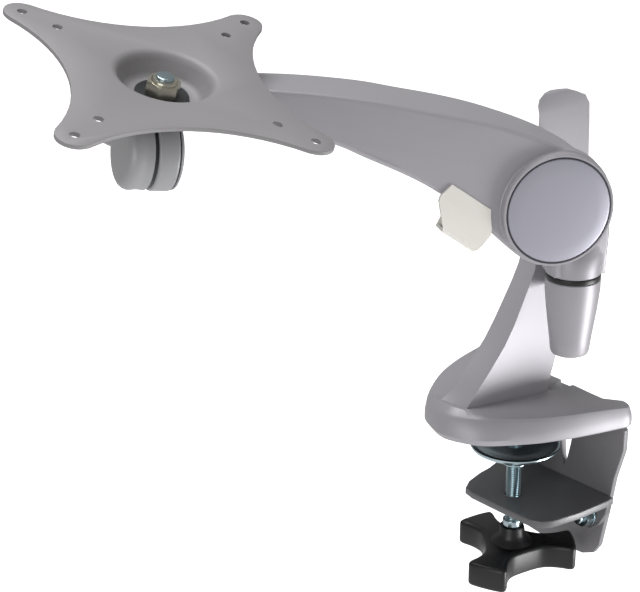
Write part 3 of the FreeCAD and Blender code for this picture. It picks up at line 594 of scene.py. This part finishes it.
def arm_casting():
    line = smooth_line([(x, y, 0) for x, y in SIDE_TOP], 4)
    line += smooth_line([(x, y, 0) for x, y in SIDE_FOOT], 3)
    beam = slab("arm_casting", line, -21.5, 21.5, 3.6, 5)
    move(beam, Matrix.Rotation(math.radians(90), 4, "X"))
    for v in beam.data.vertices:
        v.co.y *= half_width(v.co.x) / 21.5
    rim = turned_piece("rim", [(0, 16), (28.0, 16), (27.6, 21.2), (26.9, 21.8), (26.6, 25.6),
                               (26.2, 26.0), (25.6, 26.0),
                               (25.35, 25.6), (25.35, 23.6), (12.5, 23.6), (12.5, 16.5), (0, 16.5)])
    move(rim, LIE_ALONG_Y)
    lug = drum(14, 18.0, 22.8, 1.0)
    move(lug, IN_ARM.inverted() @ IN_HEAD)
    seat = drum(25.35, 23.6, 40)
    move(seat, LIE_ALONG_Y)
    well = drum(12.5, 16.5, 30)
    move(well, LIE_ALONG_Y)
    far_well = drum(10.5, -30, -16.5)
    move(far_well, LIE_ALONG_Y)
    bore = drum(6.0, -40, 40)
    move(bore, LIE_ALONG_Y)
    slot = slab("slot", [(-45, -50), (26, -50), (26, 24), (15, 28), (3, 25), (-9, 19), (-18, 13),
                         (-30, 11), (-45, 11)],
                -10.4, 10.4)
    move(slot, Matrix.Rotation(math.radians(90), 4, "X"))
    channel = slab("channel", [(32, -30), (32, 34), (46, 40), (65, 45), (84, 50), (110, 55),
                               (110, 0)], -15, 15)
    move(channel, Matrix.Rotation(math.radians(90), 4, "X"))
    lug_bore = drum(5.05, 10, 30)
    move(lug_bore, IN_ARM.inverted() @ IN_HEAD)
    join_shapes(beam, [rim, lug])
    join_shapes(beam, [seat, well, far_well, bore, slot, channel, lug_bore], "DIFFERENCE")
    return finish_piece(beam, "arm", "arm_casting", SILVER, IN_ARM, 28)


def hub_cap():
    profile = [(0, 23.6), (23.4, 23.6), (24.7, 23.8), (24.7, 25.6), (24.4, 26.1), (23.5, 26.35), (18, 26.7),
               (12, 26.95), (6, 27.08), (0, 27.1)]
    cap = turned_piece("hub_cap", profile, 128)
    return finish_piece(cap, "arm", "hub_cap", DISC, IN_ARM @ LIE_ALONG_Y, 40)


def hub_seal_ring():
    # the ring's dark colour is painted shade of the gap between the hub cap and the arm's rim
    ring = drum(25.3, 23.65, 25.7, 0.15, 24.75, "hub_seal_ring")
    return finish_piece(ring, "arm", "hub_seal_ring", SEAL_GAP_SHADE, IN_ARM @ LIE_ALONG_Y)


# across the arm, down the clip, near end and far end along it
CLIP_ROWS = [(21.9, 6, -8, 15), (22.4, 2, -11, 16), (23.1, -1.2, -13.6, 17), (23.2, -3.6, -15, 16.2),
             (23.0, -9, -14.8, 10.5), (22.2, -12.8, -14.4, 6.5), (20, -14.8, -13.6, 4.5),
             (10.6, -14.8, -13.6, 4.5),
             (10, -14.2, -13.6, 4.5), (10, -7, -12.8, 5.5)]
CLIP_INSIDE = [(11.5, -7, -12.8, 5.5), (11.5, -13.3, -13.6, 4.5), (19.6, -13.3, -13.6, 4.8),
               (20.8, -12.2, -14.4, 6.5),
               (21.5, -9, -14.8, 10.5), (21.7, -3.6, -15, 16.2), (21.6, -1.2, -13.6, 17),
               (21.0, 2, -11, 16),
               (20.9, 6, -8, 15)]


def cable_clip():
    rings = [[Vector((row[2 + end], row[0], row[1])) for row in CLIP_ROWS + CLIP_INSIDE] for end in (0, 1)]
    clip = skin("cable_clip", rings)
    move(clip, Matrix.Translation((41.5, 0, 2)) @ Matrix.Rotation(math.radians(-36), 4, "Y"))
    return finish_piece(clip, "arm", "cable_clip", MILKY, IN_ARM, 24)


# ------------------------------------------------------------ head
def swivel_housing():
    housing = drum(13, -5, 17.1, 1.6, 0, "swivel_housing")
    neck = slab("neck", [(-0.9, -30), (8.2, -30), (8.2, -3), (-0.9, -3)], -12, 12, 1.0)
    ring = drum(16.7, -0.9, 8.4, 1.2)
    move(ring, Matrix.Translation((0, -30, 0)) @ LIE_ALONG_X)
    bore = drum(5.0, -10, 30)
    hole = drum(4.05, -10, 20)
    move(hole, Matrix.Translation((0, -30, 0)) @ LIE_ALONG_X)
    join_shapes(housing, [neck, ring])
    join_shapes(housing, [bore, hole], "DIFFERENCE")
    return finish_piece(housing, "swivel", "swivel_housing", HEAD_GREY, IN_HEAD)


def tilt_block():
    profile = [(0, -13.7), (12.4, -13.7), (13.8, -13.4), (15, -12.7), (15.9, -11.6), (16.4, -10.2),
               (16.45, -8.8),
               (16.2, -7.2), (16.15, -5.6), (16.35, -4.2), (16.4, -3.0), (16.0, -2.6), (0, -2.6)]
    block = turned_piece("tilt_block", profile)
    move(block, LIE_ALONG_X)
    rib = slab("rib", [(-11, 6), (-11, 15), (-8, 22.5), (7, 22.5), (7, 17.4), (-2.6, 17.4),
                       (-2.6, 6)], -7.5, 7.5, 0.8)
    move(rib, Matrix.Rotation(math.radians(90), 4, "X"))
    stem = drum(8, 17.4, 23.4, 0.5)
    hole = drum(4.0, 18, 40)
    join_shapes(block, [rib, stem])
    join_shapes(block, [hole], "DIFFERENCE")
    return finish_piece(block, "tilt", "tilt_block", HEAD_GREY, IN_TILT)


def tilt_end_cap():
    profile = [(0, 8.9), (15.9, 8.9), (16.2, 9.2), (15.9, 9.8), (14.5, 10.5), (11, 11.1), (5, 11.4),
               (0, 11.5)]
    cap = turned_piece("tilt_end_cap", profile)
    return finish_piece(cap, "swivel", "tilt_end_cap", HEAD_GREY, IN_BARREL @ LIE_ALONG_X, 40)


# ------------------------------------------------------------ screen plate
CORNER_AT, CORNER_RADIUS = 50, 8
SIDE_ARC_CENTRE, SIDE_ARC_RADIUS = 119, 77
SIDE_ARC_END = 45.3
WIDE_PATTERN, NARROW_PATTERN = 50, 37.5
SCREEN_HOLE_RADIUS = 2.15


def plate_outline():
    """Square with four concave sides, each arc running into the round corners."""
    out = []
    for quarter in range(4):
        turn = math.radians(90 * quarter)
        points = []
        for step in range(17):
            x = -SIDE_ARC_END + 2 * SIDE_ARC_END * step / 16
            y = SIDE_ARC_CENTRE - math.sqrt(SIDE_ARC_RADIUS ** 2 - x ** 2)
            points.append((x, y))
        for step in range(1, 12):
            a = math.radians(126 - 162 * step / 12)
            points.append((CORNER_AT + CORNER_RADIUS * math.cos(a), CORNER_AT + CORNER_RADIUS * math.sin(a)))
        for x, y in points:
            out.append((x * math.cos(turn) + y * math.sin(turn), -x * math.sin(turn) + y * math.cos(turn)))
    return out[::-1]


def screen_plate():
    plate = slab("vesa_plate", plate_outline(), 35, 37, 0.35, 2)
    bowl = turned_piece("bowl", [(0, 25), (14.5, 25), (17, 25.6), (19, 27.4), (21.6, 33), (22.9, 35.6),
                                 (0, 35.6)])
    hollow = turned_piece("hollow", [(0, 27), (13.8, 27), (15.6, 27.5), (17.2, 29), (19.4, 33.6),
                                     (20.4, 35.4),
                                     (21.6, 36.5), (23.4, 37.02), (23.4, 39), (0, 39)])
    join_shapes(plate, [bowl])
    cutters = [hollow, drum(4.08, 20, 40)]
    for spread in (WIDE_PATTERN, NARROW_PATTERN):
        for sx in (-1, 1):
            for sy in (-1, 1):
                hole = drum(SCREEN_HOLE_RADIUS, 30, 40, steps=32)
                move(hole, Matrix.Translation((sx * spread, sy * spread, 0)))
                cutters.append(hole)
    join_shapes(plate, cutters, "DIFFERENCE")
    return finish_piece(plate, "plate", "vesa_plate", PLATE_GREY, IN_TILT, 30)


def plate_fixings():
    nut = hexagon(13, 28.3, 34.1, 4.0, "lock_nut")
    collar = turned_piece("collar", [(3.7, 33.8), (5.7, 33.8), (5.6, 34.8), (5.0, 35.5), (3.7, 35.5)])
    join_shapes(nut, [collar])
    finish_piece(nut, "tilt", "lock_nut", NUT_STEEL, IN_TILT)
    upper = drum(11.6, 27.05, 28.25, 0.3, 4.1, "upper_plate_washer")
    finish_piece(upper, "tilt", "upper_plate_washer", WASHER_BLACK, IN_TILT)
    stud = drum(4.0, 18.1, 36.7, 0.6, 0, "plate_stud", 48)
    finish_piece(stud, "tilt", "plate_stud", ZINC, IN_TILT)


# ------------------------------------------------------------ assembly
base_casting()
thrust_ring()
clamp_back_plate()
shelf_bracket()
pressure_cup()
clamp_screw()
screw_collar()
clamp_knob()
bracket_fixings()
yoke_casting()
arm_casting()
hub_cap()
hub_seal_ring()
cable_clip()
swivel_housing()
tilt_block()
tilt_end_cap()
screen_plate()
plate_fixings()

SLOT_LOOKS = {"silver_paint": SILVER, "grey_paint": HEAD_GREY, "silver_satin": DISC, "plate_grey": BACK_STEEL,
              "dark_steel": SHELF_STEEL, "zinc_steel": ZINC, "black_steel": WASHER_BLACK,
              "black_plastic": WASHER_BLACK,
              "black_rubber": BLACK_RUBBER, "milky_plastic": MILKY}
for part in frame["record"]["subparts"]:
    node = frame["nodes"][part["node"]]
    if not node.hide_render:
        node.data.materials.clear()
        node.data.materials.append(SLOT_LOOKS[part["material_slot"]])

# ------------------------------------------------------------ camera, floor and light
scene = bpy.context.scene
camera = bpy.data.objects.new("camera", bpy.data.cameras.new("camera"))
camera.location = (0.6236, -0.6735, 0.4235)
camera.rotation_euler = (math.radians(68.5), 0, math.radians(49.0))
camera.data.sensor_width = 36.0
camera.data.lens = 111.8
scene.collection.objects.link(camera)
scene.camera = camera

FLOOR_HEIGHT = -0.5
floor = slab("floor", [(-30, -30), (30, -30), (30, 30), (-30, 30)], -0.01, 0)
floor.location.z = FLOOR_HEIGHT
FLOOR_LOOK = coat("pale_floor", "#ffffff", 0.9, glow=1.0)
floor.data.materials.append(FLOOR_LOOK)


def bright_to_camera_only(tree, socket, seen, felt):
    """Brightness that the camera sees in full and the object only in part."""
    path = tree.nodes.new("ShaderNodeLightPath")
    mix = add_node(tree, "ShaderNodeMapRange", From_Min=0.0, From_Max=1.0, To_Min=felt, To_Max=seen)
    tree.links.new(path.outputs["Is Camera Ray"], mix.inputs["Value"])
    tree.links.new(mix.outputs["Result"], socket)


floor_shader = FLOOR_LOOK.node_tree.nodes["Principled BSDF"]
bright_to_camera_only(FLOOR_LOOK.node_tree, floor_shader.inputs["Emission Strength"], 1.0, 0.12)


def lamp(name, at, target, power, width, colour=(1, 1, 1)):
    light = bpy.data.lights.new(name, "AREA")
    light.energy = power
    light.size = width
    light.color = colour
    obj = bpy.data.objects.new(name, light)
    obj.location = at
    obj.rotation_euler = (Vector(target) - Vector(at)).to_track_quat("-Z", "Y").to_euler()
    scene.collection.objects.link(obj)
    return obj


AIM = (0.0, -0.08, 0.08)
lamp("key_light", (0.55, 0.32, -0.24), (0.0, -0.02, 0.05), 3.8, 0.3)
lamp("top_light", (-0.25, -0.2, 1.3), AIM, 12.0, 0.7)
lamp("front_fill", (0.5, -1.3, 0.3), AIM, 5.0, 0.8)

world = bpy.data.worlds.new("studio")
world.use_nodes = True
background = world.node_tree.nodes["Background"]
background.inputs["Color"].default_value = (1, 1, 1, 1)
background.inputs["Strength"].default_value = 0.33
scene.world = world
scene.view_settings.view_transform = "Standard"
